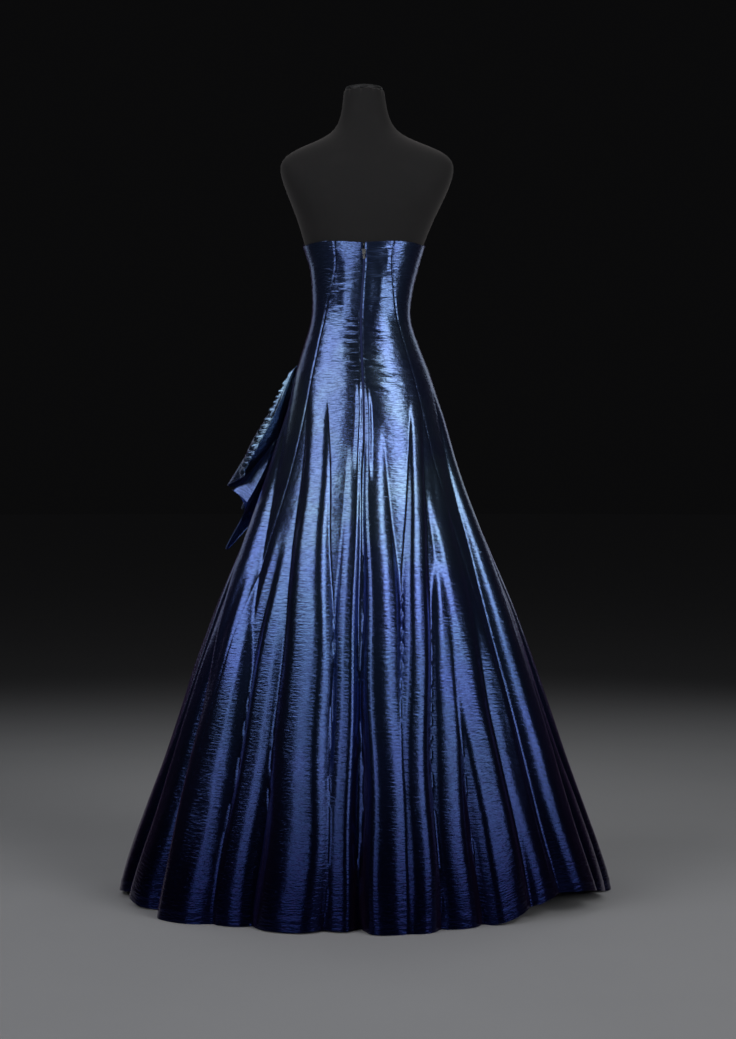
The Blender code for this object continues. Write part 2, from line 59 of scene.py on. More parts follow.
# The bust cups: how far they stand out, the angle and height of their middle, half their width and rise
CUP_OUT, CUP_ANGLE, CUP_HEIGHT, CUP_WIDTH, CUP_RISE = 0.030, 147, 1.236, 21, 0.046
# The hollow along the spine: its depth, the height of its middle, half its width and rise
SPINE_IN, SPINE_HEIGHT, SPINE_WIDTH, SPINE_RISE = 0.003, 1.175, 17, 0.085

Section = namedtuple("Section", "height half shift back front")
# Half the width, the middle's shift to +X, and the depths behind and before the middle, from the floor up
GOWN_SECTIONS = (
    Section(0.000, 0.487, 0.000, 0.392, 0.385),
    Section(0.022, 0.483, 0.000, 0.388, 0.381),
    Section(0.086, 0.464, 0.000, 0.376, 0.368),
    Section(0.160, 0.438, 0.000, 0.358, 0.350),
    Section(0.256, 0.404, 0.000, 0.332, 0.325),
    Section(0.360, 0.370, 0.000, 0.305, 0.298),
    Section(0.446, 0.342, 0.000, 0.282, 0.275),
    Section(0.552, 0.306, 0.000, 0.252, 0.246),
    Section(0.682, 0.254, 0.000, 0.211, 0.206),
    Section(0.842, 0.190, 0.000, 0.158, 0.152),
    Section(0.988, 0.147, -0.001, 0.119, 0.110),
    Section(1.042, 0.132, -0.003, 0.106, 0.102),
    Section(1.090, 0.115, -0.005, 0.092, 0.095),
    Section(1.146, 0.099, -0.006, 0.083, 0.089),
    Section(1.204, 0.101, -0.003, 0.086, 0.095),
    Section(1.244, 0.108, 0.000, 0.091, 0.104),
    Section(1.290, 0.1215, 0.000, 0.096, 0.112),
    Section(1.330, 0.134, 0.003, 0.099, 0.112),
)

Edge = namedtuple("Edge", "angle height")
# The top edge, alike at both sides, from the centre back to the centre front
TOP_EDGE = (
    Edge(0, 1.288),
    Edge(35, 1.292),
    Edge(90, 1.290),
    Edge(122, 1.306),
    Edge(147, 1.318),
    Edge(166, 1.306),
    Edge(180, 1.296),
)
# How far the hem is carried off the floor by the folds
HEM_LIFTS = (
    Edge(-180, 0.000),
    Edge(-90, 0.002),
    Edge(-74, 0.014),
    Edge(-60, 0.002),
    Edge(-40, 0.000),
    Edge(-6, 0.003),
    Edge(10, 0.000),
    Edge(30, 0.000),
    Edge(44, 0.026),
    Edge(56, 0.042),
    Edge(70, 0.026),
    Edge(86, 0.002),
    Edge(180, 0.000),
)
LIFT_REACH = 0.35  # the level above which the hem's lifts aren't felt

Seam = namedtuple("Seam", "height back side front")
# The angles of the three seams of each side
SEAMS = (
    Seam(0.000, 51, 91, 139),
    Seam(0.842, 50, 91, 140),
    Seam(1.042, 47, 90, 142),
    Seam(1.146, 46, 89, 144),
    Seam(1.244, 31, 87, 147),
    Seam(1.330, 27, 85, 148),
)

Fold = namedtuple("Fold", "angle start depth spread skew lean flare")
# Folds of the skirt: the crest's angle at the hem, the height where it starts, its depth at the hem,
# half its width in degrees, the share by which the side towards the larger angle is wider and the other
# side narrower, and how many degrees the crest turns up to its start: evenly, and mostly near the start
FOLDS = (
    Fold(-171, 0.92, 0.044, 9.0, 0.0, 3, 0),
    Fold(-156, 1.00, 0.056, 11.0, 0.0, 5, 0),
    Fold(-138, 0.92, 0.050, 10.0, 0.0, 3, 0),
    Fold(-119, 0.84, 0.044, 10.0, 0.0, -2, 0),
    Fold(-102, 0.90, 0.054, 10.5, 0.0, -3, 0),
    Fold(-84, 0.84, 0.042, 9.5, 0.0, -2, 0),
    Fold(-67, 0.86, 0.040, 9.0, 0.1, -4, 0),
    Fold(-48, 1.00, 0.060, 11.0, 0.3, -10, -40),
    Fold(-33, 0.74, 0.034, 6.5, 0.2, -4, 0),
    Fold(-15, 1.04, 0.052, 10.0, -0.2, -2, -22),
    Fold(-5, 0.95, 0.032, 4.5, -0.3, 0, 0),
    Fold(4, 0.97, 0.052, 7.5, 0.4, 0, 0),
    Fold(12, 1.02, 0.046, 6.0, 0.1, 4, 30),
    Fold(22, 0.92, 0.026, 6.5, 0.0, 4, 36),
    Fold(35, 0.86, 0.031, 8.0, 0.3, -2, 12),
    Fold(48, 0.66, 0.029, 7.5, 0.0, 2, 0),
    Fold(62, 1.04, 0.058, 9.5, -0.1, -2, 26),
    Fold(77, 0.80, 0.040, 9.5, 0.0, 3, 0),
    Fold(93, 0.88, 0.050, 10.0, 0.0, 0, 0),
    Fold(110, 0.84, 0.050, 10.5, 0.0, -3, 0),
    Fold(128, 0.90, 0.050, 10.0, 0.0, -3, 0),
    Fold(145, 0.98, 0.056, 10.0, 0.0, -5, 0),
    Fold(160, 0.86, 0.044, 9.0, 0.0, -3, 0),
    Fold(175, 1.00, 0.058, 9.5, 0.0, 0, 0),
)
FOLD_SINK = 0.038  # how far the cloth between folds lies inside the smooth skirt, at the hem
SKIRT_START = 1.000  # where that sinking starts, and the hips' rows end
FOLD_POWER = 2.8  # how flat a fold's crest is: 2 is a parabola
FOLD_FLANK = 0.25  # how far below the cloth between folds a flank runs, as a share of the fold's depth
FOLD_START = 0.10  # the share of a fold's height over which it starts softly
FOLD_BLEND = 0.0028  # how softly the folds run into each other at the hem
BLEND_LEAST = 0.00002  # the same where the skirt starts
# Each crest wanders a little: how far, as a share of its spread, the height of one wave, and by which
# part of a wave each fold is ahead of the last one
WANDER, WANDER_RISE, WANDER_SHIFT = 0.06, 0.37, 0.37
WANDER_STOP = 4  # how fast the wandering ends below a crest's upper end

Tier = namedtuple("Tier", "name node top top_angles foot_angles")
Flute = namedtuple("Flute", "share foot out")
# The two tiers of the hip drape: the level of the top, and the angles of the sides at the top and foot.
# A tier's flutes: the share of its width, the level of the foot there, and how far it stands off the gown
UPPER_TIER = Tier("drape_upper_tier", "hip_drape_upper", 1.052, (-86, -114), (-83, -134))
UPPER_FLUTES = (
    Flute(0.00, 0.832, 0.044),
    Flute(0.20, 0.813, 0.078),
    Flute(0.41, 0.806, 0.022),
    Flute(0.62, 0.764, 0.062),
    Flute(0.82, 0.802, 0.020),
    Flute(1.00, 0.846, 0.034),
)
LOWER_TIER = Tier("drape_lower_tier", "hip_drape_lower", 0.906, (-90, -118), (-88, -126))
LOWER_FLUTES = (
    Flute(0.00, 0.780, 0.024),
    Flute(0.12, 0.804, 0.064),
    Flute(0.26, 0.764, 0.024),
    Flute(0.39, 0.686, 0.033),
    Flute(0.59, 0.738, 0.010),
    Flute(0.78, 0.700, 0.030),
    Flute(1.00, 0.768, 0.012),
)
FLARE = 0.95  # the power by which a tier stands off on its way down: 1 would be even

# The cloth itself
CLOTH = 0.0011  # taffeta with its interlining
TIER_CLOTH = 0.0009
STEP = 1e-4  # to each side of a point, for the slope there
NUDGE = 0.05  # degrees to each side of a point, for the width of a degree there

Wrinkle = namedtuple("Wrinkle", "angle height reach rise depth tilt")
# Fine drag lines, most of them across the small of the back and at the top edge: the middle, half the
# length in degrees, half the width in metres, the depth, and the line's climb in metres a degree
WRINKLES = (
    Wrinkle(-14, 1.134, 9, 0.0022, 0.0008, 0.00005),
    Wrinkle(-12, 1.125, 11, 0.0020, -0.0009, -0.00004),
    Wrinkle(-15, 1.117, 10, 0.0022, 0.0010, 0.00008),
    Wrinkle(-10, 1.109, 9, 0.0020, -0.0009, 0.00002),
    Wrinkle(-14, 1.101, 11, 0.0024, 0.0010, -0.00006),
    Wrinkle(-9, 1.092, 8, 0.0020, -0.0009, 0.00010),
    Wrinkle(-12, 1.083, 9, 0.0024, 0.0010, 0.00004),
    Wrinkle(-7, 1.071, 6, 0.0026, -0.0010, 0.00030),
    Wrinkle(-8, 1.058, 5, 0.0028, 0.0010, 0.00045),
    Wrinkle(-6, 1.046, 5, 0.0028, -0.0010, 0.00040),
    Wrinkle(14, 1.121, 9, 0.0022, 0.0009, -0.00004),
    Wrinkle(18, 1.113, 11, 0.0020, -0.0010, 0.00003),
    Wrinkle(22, 1.104, 9, 0.0022, 0.0010, -0.00008),
    Wrinkle(24, 1.095, 8, 0.0022, -0.0009, 0.00002),
    Wrinkle(12, 1.087, 9, 0.0022, 0.0008, 0.00006),
    Wrinkle(9, 1.074, 5, 0.0024, -0.0010, -0.00050),
    Wrinkle(6, 1.061, 5, 0.0028, 0.0012, -0.00055),
    Wrinkle(12, 1.046, 7, 0.0030, -0.0012, -0.00030),
    Wrinkle(22, 1.030, 8, 0.0032, 0.0012, -0.00035),
    Wrinkle(26, 1.012, 7, 0.0034, -0.0012, -0.00025),
    Wrinkle(14, 1.006, 5, 0.0036, 0.0012, -0.00040),
    Wrinkle(20, 1.277, 12, 0.0017, 0.0010, 0.00010),
    Wrinkle(15, 1.270, 10, 0.0018, -0.0010, 0.00012),
    Wrinkle(17, 1.263, 8, 0.0022, 0.0009, 0.00006),
    Wrinkle(18, 1.221, 8, 0.0026, -0.0010, 0.00004),
    Wrinkle(17, 1.184, 9, 0.0024, 0.0010, 0.00002),
    Wrinkle(14, 1.174, 8, 0.0022, -0.0010, -0.00005),
    Wrinkle(18, 1.166, 9, 0.0022, 0.0009, 0.00004),
    Wrinkle(-24, 1.212, 9, 0.0030, -0.0009, 0.00015),
    Wrinkle(-20, 1.196, 8, 0.0028, 0.0008, 0.00010),
    Wrinkle(-26, 1.168, 9, 0.0026, -0.0008, 0.00012),
    Wrinkle(-172, 1.130, 9, 0.0026, 0.0009, 0.00005),
    Wrinkle(174, 1.118, 12, 0.0026, -0.0010, -0.00004),
    Wrinkle(166, 1.106, 10, 0.0028, 0.0010, 0.00006),
    Wrinkle(-165, 1.094, 11, 0.0028, -0.0009, -0.00008),
    Wrinkle(120, 1.128, 9, 0.0028, 0.0009, 0.00006),
    Wrinkle(-118, 1.122, 10, 0.0028, 0.0009, -0.00006),
    Wrinkle(96, 1.110, 9, 0.0030, -0.0010, 0.00005),
    Wrinkle(-70, 1.108, 9, 0.0030, -0.0010, -0.00005),
)

# A wrinkle waves along its length: how far, and the wave's radians for a degree along and a metre up
WRINKLE_WAVE, WRINKLE_TURN, WRINKLE_PHASE = 0.0007, 0.30, 900

Crease = namedtuple("Crease", "foot_angle foot head_angle head depth width")
# Soft creases down the skirt and the bodice between the folds: where each starts and ends, its depth,
# below zero for a trough, and half its width in degrees
CREASES = (
    Crease(10, 1.10, 7, 1.270, -0.0008, 5.0),
    Crease(22, 1.15, 19, 1.262, 0.0012, 5.0),
    Crease(27, 1.22, 24, 1.283, 0.0010, 3.5),
    Crease(-15, 1.12, -17, 1.284, 0.0014, 9.0),
    Crease(-29, 1.13, -27, 1.270, -0.0008, 5.0),
    Crease(3.2, 0.80, 3.4, 1.02, 0.0030, 1.6),
    Crease(-3.4, 0.82, -3.6, 1.03, 0.0028, 1.7),
    Crease(33, 0.30, 36, 0.800, -0.0025, 2.6),
    Crease(54, 0.10, 50, 0.600, 0.0030, 3.0),
    Crease(41, 0.05, 40, 0.430, 0.0030, 2.6),
    Crease(-30, 0.42, -36, 0.860, -0.0025, 2.6),
    Crease(-44, 0.25, -47, 0.760, 0.0027, 2.6),
    Crease(-56, 0.30, -58, 0.700, -0.0030, 2.6),
    Crease(-46, 0.02, -45, 0.260, -0.0030, 2.2),
    Crease(69, 0.10, 68, 0.560, 0.0030, 2.8),
    Crease(81, 0.20, 80, 0.640, -0.0027, 2.6),
    Crease(95, 0.10, 96, 0.600, 0.0030, 2.8),
    Crease(109, 0.25, 108, 0.760, -0.0027, 2.8),
    Crease(124, 0.10, 122, 0.620, 0.0030, 3.0),
    Crease(137, 0.20, 136, 0.780, -0.0025, 2.6),
    Crease(152, 0.10, 151, 0.560, 0.0030, 2.6),
    Crease(167, 0.30, 168, 0.820, -0.0027, 2.6),
    Crease(-70, 0.15, -71, 0.560, 0.0027, 2.6),
    Crease(-83, 0.20, -83, 0.640, -0.0027, 2.6),
    Crease(-96, 0.10, -97, 0.580, 0.0030, 2.8),
    Crease(-110, 0.25, -111, 0.700, -0.0027, 2.8),
    Crease(-125, 0.10, -124, 0.640, 0.0030, 2.8),
    Crease(-138, 0.20, -139, 0.760, -0.0025, 2.6),
    Crease(-151, 0.10, -150, 0.560, 0.0027, 2.6),
    Crease(-164, 0.30, -165, 0.800, -0.0027, 2.6),
    Crease(180, 0.20, 180, 0.760, 0.0025, 2.6),
)

# A crease bends from side to side: by how many degrees, and the radians of its waves from foot to head
CREASE_BEND, CREASE_TURN = 0.35, 7
CREASE_ENDS = 0.3  # the share of its run over which a crease starts and ends softly

# Beside a seam the cloth dips into it and puckers. The puckers' spacing drifts, by so many radians and
# in so many radians a metre, and their phase keeps a gore's two sides from being alike.
DIP, DIP_WIDTH = 0.0006, 0.0020
PUCKER, PUCKER_WIDTH, PUCKER_PITCH = 0.00025, 0.010, 0.019
PUCKER_DRIFT, PUCKER_DRIFT_TURN, PUCKER_PHASE = 2, 31, 1.7
# The turned hem's inner edge: how far it prints through, its level and half its width
HEM_RIDGE, HEM_TURN, HEM_RIDGE_WIDTH = 0.0006, 0.021, 0.0016
# The back gores' rows lie closer above the first level, and all the gores' rows below the second
TOP_ROWS, HEM_ROWS = 1.250, 0.040

# Little pleats along the top of each tier: how many, how deep, the shares of the tier's drop over which
# they start and fade, and how their spacing drifts, in radians and in radians for the tier's width
GATHERS, GATHER_DEPTH = 11, 0.0022
GATHER_START, GATHER_REACH = 0.05, 0.30
GATHER_DRIFT, GATHER_DRIFT_TURN = 1.3, 9
# The ruched back edge of the upper tier, a roll with wrinkles across it, in shares of the tier's width
# and drop: where it lies at the top, how far it moves aside by the foot, and half its width
RUCHE_PLACE, RUCHE_SLANT, RUCHE_WIDTH = 0.15, 0.13, 0.045
RUCHE_START, RUCHE_END, RUCHE_STOP = 0.10, 1.02, 0.12  # how softly it starts, where it ends, how softly
RUCHE_ROLL, RUCHE_DEPTH = 0.0042, 0.0027  # how far the roll stands out, and its wrinkles on it
RUCHE_PITCH = 0.062  # the spacing of the wrinkles, which run aslant and drift
RUCHE_LEAN, RUCHE_DRIFT, RUCHE_DRIFT_TURN = 16, 1.5, 23
# A tier's foot and sides are rolled in, which thickens them: by how much, and over which share of it
FOOT_ROLL, FOOT_ROLL_SHARE = 0.0012, 0.012
SIDE_ROLL, SIDE_ROLL_SHARE = 0.0006, 0.02
TIER_COLUMNS, TIER_ROWS = 120, 96

COIL_PITCH = 0.0019
TURN_SIZE = (0.0030, 0.0006, 0.00105)  # one turn's width, depth and height
TURN_ROUND = 0.00022  # how far its edges are rounded
COIL_SHIFT = 0.00022  # every other turn lies this far to one side, and those between to the other
COIL_SINK = 0.00045  # how far the coil's middle lies below the face of the gown
COIL_INSET = 0.001  # how far the coil stays clear of the zip's two ends
CORE_HALF = 0.0018  # half the width of the core that joins the turns
CORE_FRONT, CORE_REAR = 0.0001, 0.0007  # the core's faces, behind the coil's middle
CORE_EVERY = 4  # the core has a section at every fourth turn

# The least angle, in degrees, at which an edge stays sharp
SHARP_CLOTH, SHARP_COIL, SHARP_FORM = 50, 40, 60
SAME_POINT = 0.00002  # corners of the form's facets that lie nearer than this are one

RIB_PITCH = 0.0009  # from one rib of the taffeta's weave to the next

STAGE_RADIUS = 30.0
# The floor's fade from pale to dark further off is painted shade, and BACKDROP also gives the far floor a
# painted glow.
FLOOR_FADE = (0.5, 4.5)  # the distances between which the floor goes from pale to dark
FLOOR_PALE, FLOOR_DARK = (0.54, 0.54, 0.55, 1), (0.040, 0.040, 0.042, 1)
BACKDROP = (0.0032, 0.0032, 0.0034, 1)

# The main softboxes stand on a circle round the gown and face it: how many degrees each is turned from
# the camera's side towards +X, its width, the heights of its foot and head, its watts and its colour
Softbox = namedtuple("Softbox", "name turn wide foot head watts colour")
SOFTBOX_REACH = 3.13
SOFTBOXES = (
    Softbox("right_high", 43, 1.25, 1.90, 4.60, 37, (0.97, 0.98, 1.0)),
    Softbox("right_low", 54, 1.70, 0.60, 1.45, 12, (0.97, 0.98, 1.0)),
    Softbox("left_high", -52, 2.80, 1.90, 3.80, 37, (0.95, 0.96, 1.0)),
    Softbox("left_low", -23, 2.00, 0.60, 1.45, 10, (0.94, 0.96, 1.0)),
)
Lamp = namedtuple("Lamp", "name place aim wide tall watts colour")
WEAK_LAMPS = (
    Lamp("front_right", (1.9, 2.7, 2.4), (0, 0, 1.4), 1.2, 3.2, 7, (0.95, 0.98, 1.0)),
    Lamp("front_left", (-2.2, 2.4, 2.4), (0, 0, 1.4), 1.2, 3.2, 5, (0.90, 0.95, 1.0)),
    Lamp("overhead", (0, 1.4, 4.6), (0, 0.8, 0), 2.0, 2.0, 12, (1, 1, 1)),
)

CAMERA_PLACE = (0.008, -4.1, 0.86)
CAMERA_TIP = 1.607  # degrees down from level
LENS, SENSOR = 71.03, 36.0  # millimetres


# ---------------------------------------------------------------------------- the gown's shape


def through(table, column, at):
    """A smooth curve through a table's column, read at the values `at` of its first column."""
    places = np.array([row[0] for row in table], float)
    values = np.array([getattr(row, column) for row in table], float)
    slopes = np.gradient(values, places)
    i = np.clip(np.searchsorted(places, at) - 1, 0, len(places) - 2)
    run = places[i + 1] - places[i]
    t = np.clip((at - places[i]) / run, 0, 1)
    ends = values[i] * (1 + 2 * t) * (1 - t) ** 2 + values[i + 1] * t * t * (3 - 2 * t)
    return ends + run * (slopes[i] * t * (1 - t) ** 2 - slopes[i + 1] * t * t * (1 - t))


def wrapped(angle):
    return (angle + 180) % 360 - 180


def part_way(start, end, share):
    return start + (end - start) * share


def bell(distance):
    return np.exp(-(distance**2))


def eased(share):
    """From 0 to 1, level at both ends."""
    t = np.clip(share, 0, 1)
    return t * t * (3 - 2 * t)


def ring_point(angle, height, out):
    """The point of the gown's oval at this angle and height, moved out of it in its own plane."""
    turn = np.radians(angle)
    side, away = np.sin(turn), -np.cos(turn)
    half = through(GOWN_SECTIONS, "half", height)
    back, front = through(GOWN_SECTIONS, "back", height), through(GOWN_SECTIONS, "front", height)
    depth = np.where(away < 0, back, front)
    slope = np.hypot(side / half, away / depth)
    x = through(GOWN_SECTIONS, "shift", height) + side * (half + out / half / slope)
    y = away * (depth + out / depth / slope)
    return np.stack([x, y, height + 0 * x], axis=-1)


def figure_out(angle, height):
    """How far the cups and the hollow of the spine take the bodice out of its plain ovals."""
    around = np.abs(wrapped(angle))
    cup = bell((around - CUP_ANGLE) / CUP_WIDTH) * bell((height - CUP_HEIGHT) / CUP_RISE)
    spine = bell(around / SPINE_WIDTH) * bell((height - SPINE_HEIGHT) / SPINE_RISE)
    return CUP_OUT * cup - SPINE_IN * spine


def fold_out(angle, height):
    """How far the skirt's folds stand out, with the cloth between them sunk in.

    Where two folds meet, the higher one shows and the other dies away under it.
    """
    growth = np.clip(1 - height / SKIRT_START, 0, 1)
    blend = np.maximum(FOLD_BLEND * growth, BLEND_LEAST)
    total = 1 + 0 * (angle + height)
    for i, fold in enumerate(FOLDS):
        up = np.clip(height / fold.start, 0, 1)
        wave = np.sin(2 * np.pi * (height / WANDER_RISE + WANDER_SHIFT * i))
        wander = WANDER * np.clip(WANDER_STOP * (1 - up), 0, 1) * wave
        aside = wrapped(angle - fold.angle - fold.lean * up - fold.flare * up**3)
        off = aside / fold.spread + wander
        off = np.abs(off) / (1 + fold.skew * np.sign(off))
        depth = fold.depth * (1 - up) * eased((1 - up) / FOLD_START)
        crest = depth * np.clip(1 - off**FOLD_POWER, -FOLD_FLANK, 1)
        total = total + np.exp(crest / blend)
    return blend * np.log(total) - FOLD_SINK * growth


def wrinkle_out(angle, height):
    """How far the fine wrinkles and the soft creases stand out."""
    out = 0 * angle
    for w in WRINKLES:
        off = wrapped(angle - w.angle)
        wave = WRINKLE_WAVE * np.sin(off * WRINKLE_TURN + w.height * WRINKLE_PHASE)
        rise = height - w.height - w.tilt * off - wave
        out = out + w.depth * bell(off / w.reach) * bell(rise / w.rise)
    for c in CREASES:
        run = (height - c.foot) / (c.head - c.foot)
        bend = CREASE_BEND * np.sin(run * CREASE_TURN + c.foot_angle)
        line = part_way(c.foot_angle, c.head_angle, run) + bend
        window = eased(run / CREASE_ENDS) * eased((1 - run) / CREASE_ENDS)
        out = out + c.depth * window * bell(wrapped(angle - line) / c.width)
    return out


def real_height(angle, level):
    """The height of a row: it meets the top edge above the waist, and the lifted hem near the floor."""
    top = through(TOP_EDGE, "height", np.abs(wrapped(angle)))
    above = WAIST + (level - WAIST) * (top - WAIST) / (TOP - WAIST)
    lift = np.clip(through(HEM_LIFTS, "height", wrapped(angle)), 0, None)
    below = level + lift * np.clip(1 - level / LIFT_REACH, 0, 1)
    return np.where(level > WAIST, above, below)


def gown_point(angle, level, out=0.0):
    """A point of the gown's outer face, or `out` in front of it."""
    height = real_height(angle, level)
    out = out + figure_out(angle, height) + fold_out(angle, height) + wrinkle_out(angle, height)
    return ring_point(angle, height, out)


def parted(angle, level, gap):
    """The angle of an edge that lies a gap away from a seam along the cloth."""
    ahead, behind = gown_point(angle + NUDGE, level), gown_point(angle - NUDGE, level)
    along = np.linalg.norm(ahead - behind, axis=-1) / (2 * NUDGE)
    return angle + gap / along


def zip_gap(level):
    """Half the gap at the centre back: wide enough for the chain along the zip, and a seam below it."""
    shut = np.clip((ZIP_END - level) / ZIP_RUN_OUT, 0, 1)
    return (CHAIN_HALF + GAP) * (1 - shut) + GAP / 2 * shut


def seam_gap(level):
    return GAP / 2 + 0 * level


# ---------------------------------------------------------------------------- how pieces are made


def deselect_all():
    bpy.ops.object.select_all(action="DESELECT")


def new_piece(name, points, faces, sharp):
    """A smooth mesh object with its faces turned outwards, and sharp edges from this many degrees on."""
    mesh = bpy.data.meshes.new(name)
    mesh.from_pydata(points.tolist(), [], faces)
    solid = bmesh.new()
    solid.from_mesh(mesh)
    bmesh.ops.recalc_face_normals(solid, faces=solid.faces)
    solid.to_mesh(mesh)
    solid.free()
    mesh.shade_smooth()
    mesh.set_sharp_from_angle(angle=np.radians(sharp))
    piece = bpy.data.objects.new(name, mesh)
    bpy.context.collection.objects.link(piece)
    return piece


def wall_faces(surface, across, down, thickness):
    """The outer and inner faces of a wall whose outer face is surface(across, down)."""
    slope_across = surface(across + STEP, down) - surface(across - STEP, down)
    slope_down = surface(across, down + STEP) - surface(across, down - STEP)
    normal = np.cross(slope_across, slope_down)
    normal /= np.linalg.norm(normal, axis=-1, keepdims=True)
    outer = surface(across, down)
    outward = np.sign(np.sum(normal * outer * [1, 1, 0], axis=-1).mean())
    return outer, outer - outward * np.asarray(thickness)[..., None] * normal


def cloth_uv(outer):
    """Each point's place on the cloth, in metres: along its row, and down the middle column."""
    steps = np.linalg.norm(np.diff(outer, axis=1), axis=-1)
    along = np.concatenate([np.zeros((len(outer), 1)), np.cumsum(steps, axis=1)], axis=1)
    along -= along[:, along.shape[1] // 2][:, None]
    middle = outer[:, outer.shape[1] // 2]
    fall = np.concatenate([[0], np.cumsum(np.linalg.norm(np.diff(middle, axis=0), axis=-1))])
    return np.stack([along, -np.broadcast_to(fall[:, None], along.shape)], axis=-1)


def add_shell(name, outer, inner):
    """A closed thin shell between two grids of points, rows by columns, with the cloth's own UV map."""
    rows, columns = outer.shape[:2]
    index = np.arange(rows * columns).reshape(rows, columns)
    corners = [index[:-1, :-1], index[:-1, 1:], index[1:, 1:], index[1:, :-1]]
    quads = np.stack(corners, axis=-1).reshape(-1, 4)
    back = quads[:, ::-1] + rows * columns
    rim = np.concatenate([index[0], index[1:, -1], index[-1, -2::-1], index[-2:0:-1, 0]])
    after = np.roll(rim, -1)
    edge = np.stack([rim, rim + rows * columns, after + rows * columns, after], axis=-1)
    points = np.concatenate([outer.reshape(-1, 3), inner.reshape(-1, 3)])
    piece = new_piece(name, points, np.concatenate([quads, back, edge]).tolist(), SHARP_CLOTH)
    uv = np.tile(cloth_uv(outer).reshape(-1, 2), (2, 1))
    corner = np.empty(len(piece.data.loops), np.int32)
    piece.data.loops.foreach_get("vertex_index", corner)
    piece.data.uv_layers.new(name="cloth").data.foreach_set("uv", uv[corner].astype(np.float32).ravel())
    return piece


# ---------------------------------------------------------------------------- the gown's gores


def spread_rows(*stretches):
    """Rows from the top down: each stretch is (from, to, spacing)."""
    rows = [stretches[0][0]]
    for start, end, spacing in stretches:
        rows += list(np.linspace(start, end, max(1, round((start - end) / spacing)) + 1)[1:])
    return np.array(rows)


BACK_ROWS = spread_rows(
    (TOP, TOP_ROWS, 0.0014),
    (TOP_ROWS, WAIST, 0.0022),
    (WAIST, SKIRT_START, 0.0015),
    (SKIRT_START, ZIP_END, 0.004),
    (ZIP_END, ZIP_END - ZIP_RUN_OUT, 0.004),
    (ZIP_END - ZIP_RUN_OUT, HEM_ROWS, 0.0085),
    (HEM_ROWS, HEM, 0.003),
)
SIDE_ROWS = spread_rows(
    (TOP, WAIST, 0.004),
    (WAIST, SKIRT_START, 0.003),
    (SKIRT_START, HEM_ROWS, 0.009),
    (HEM_ROWS, HEM, 0.004),
)

# A gore: the node it replaces, the angles of its first and last edge as functions of the level, its
# columns, its flat width and length, and its flat area
Gore = namedtuple("Gore", "node first last columns flat area")


def edge_shape(distance, level, phase):
    """What the sewing does to the cloth this far from a seam."""
    dip = -DIP * bell(distance / DIP_WIDTH)
    drift = PUCKER_DRIFT * np.sin(level * PUCKER_DRIFT_TURN)
    pucker = PUCKER * np.sin(2 * np.pi * level / PUCKER_PITCH + phase + drift)
    return dip + pucker * bell(distance / PUCKER_WIDTH)


def hem_shape(level):
    """The turned hem: its inner edge prints through as a faint ridge."""
    return HEM_RIDGE * bell((level - HEM_TURN) / HEM_RIDGE_WIDTH)


def add_gore(gore, rows, first_gap=seam_gap, last_gap=seam_gap):
    """One gore, from the top edge to the hem. Each side edge lies a gap away from its seam's line."""

    def surface(across, down):
        row = down[:, :1]
        start = parted(gore.first(row), row, first_gap(row))
        end = parted(gore.last(row), row, -last_gap(row))
        width = np.linalg.norm(gown_point(end, row) - gown_point(start, row), axis=-1)
        out = edge_shape(across * width, down, 0) + edge_shape((1 - across) * width, down, PUCKER_PHASE)
        return gown_point(part_way(start, end, across), down, out + hem_shape(down))

    across, down = np.meshgrid(np.linspace(0, 1, gore.columns + 1), rows)
    outer, inner = wall_faces(surface, across, down, CLOTH + 0 * across)
    piece = add_shell("gore_" + gore.node, outer, inner)
    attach(piece, "gown_on_form")
    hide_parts(gore.node)
    return piece


def seam(column, side):
    """A seam as a function of the level: side is 1 at the wearer's right and -1 at the left."""
    return lambda level: side * through(SEAMS, column, level)


def centre_back(level):
    return 0 * level


def far_front_seam(level):
    """The front seam at the wearer's left, counted on past the centre front."""
    return 360 - through(SEAMS, "front", level)


def add_gores():
    """The seven gores. Of the two at the centre back, each makes room for half the zip."""
    back_right = Gore("centre_back_right", centre_back, seam("back", 1), 92, (0.47, 1.34), 0.325)
    back_left = Gore("centre_back_left", seam("back", -1), centre_back, 92, (0.48, 1.33), 0.337)
    others = (
        Gore("side_back_right", seam("back", 1), seam("side", 1), 64, (0.34, 1.33), 0.236),
        Gore("side_back_left", seam("side", -1), seam("back", -1), 64, (0.35, 1.34), 0.242),
        Gore("side_front_right", seam("side", 1), seam("front", 1), 68, (0.41, 1.37), 0.290),
        Gore("side_front_left", seam("front", -1), seam("side", -1), 68, (0.41, 1.37), 0.290),
        Gore("centre_front", seam("front", 1), far_front_seam, 104, (0.76, 1.34), 0.542),
    )
    backs = [
        add_gore(back_right, BACK_ROWS, first_gap=zip_gap),
        add_gore(back_left, BACK_ROWS, last_gap=zip_gap),
    ]
    return backs + [add_gore(gore, SIDE_ROWS) for gore in others]


# ---------------------------------------------------------------------------- the hip drape


def gather_out(across, down):
    """How far the little pleats along a tier's top stand out."""
    drift = GATHER_DRIFT * np.sin(GATHER_DRIFT_TURN * across)
    pleat = GATHER_DEPTH * (1 + np.sin(2 * np.pi * GATHERS * across + drift))
    return pleat * bell(down / GATHER_REACH) * eased(down / GATHER_START)


def ruche_out(across, down):
    """How far the ruched edge stands out."""
    aside = across - (RUCHE_PLACE - RUCHE_SLANT * down)
    roll = bell(aside / RUCHE_WIDTH) * eased(down / RUCHE_START) * eased((RUCHE_END - down) / RUCHE_STOP)
    drift = RUCHE_DRIFT * np.sin(down * RUCHE_DRIFT_TURN)
    wrinkle = np.sin(2 * np.pi * down / RUCHE_PITCH + RUCHE_LEAN * aside + drift)
    return roll * (RUCHE_ROLL + RUCHE_DEPTH * wrinkle)


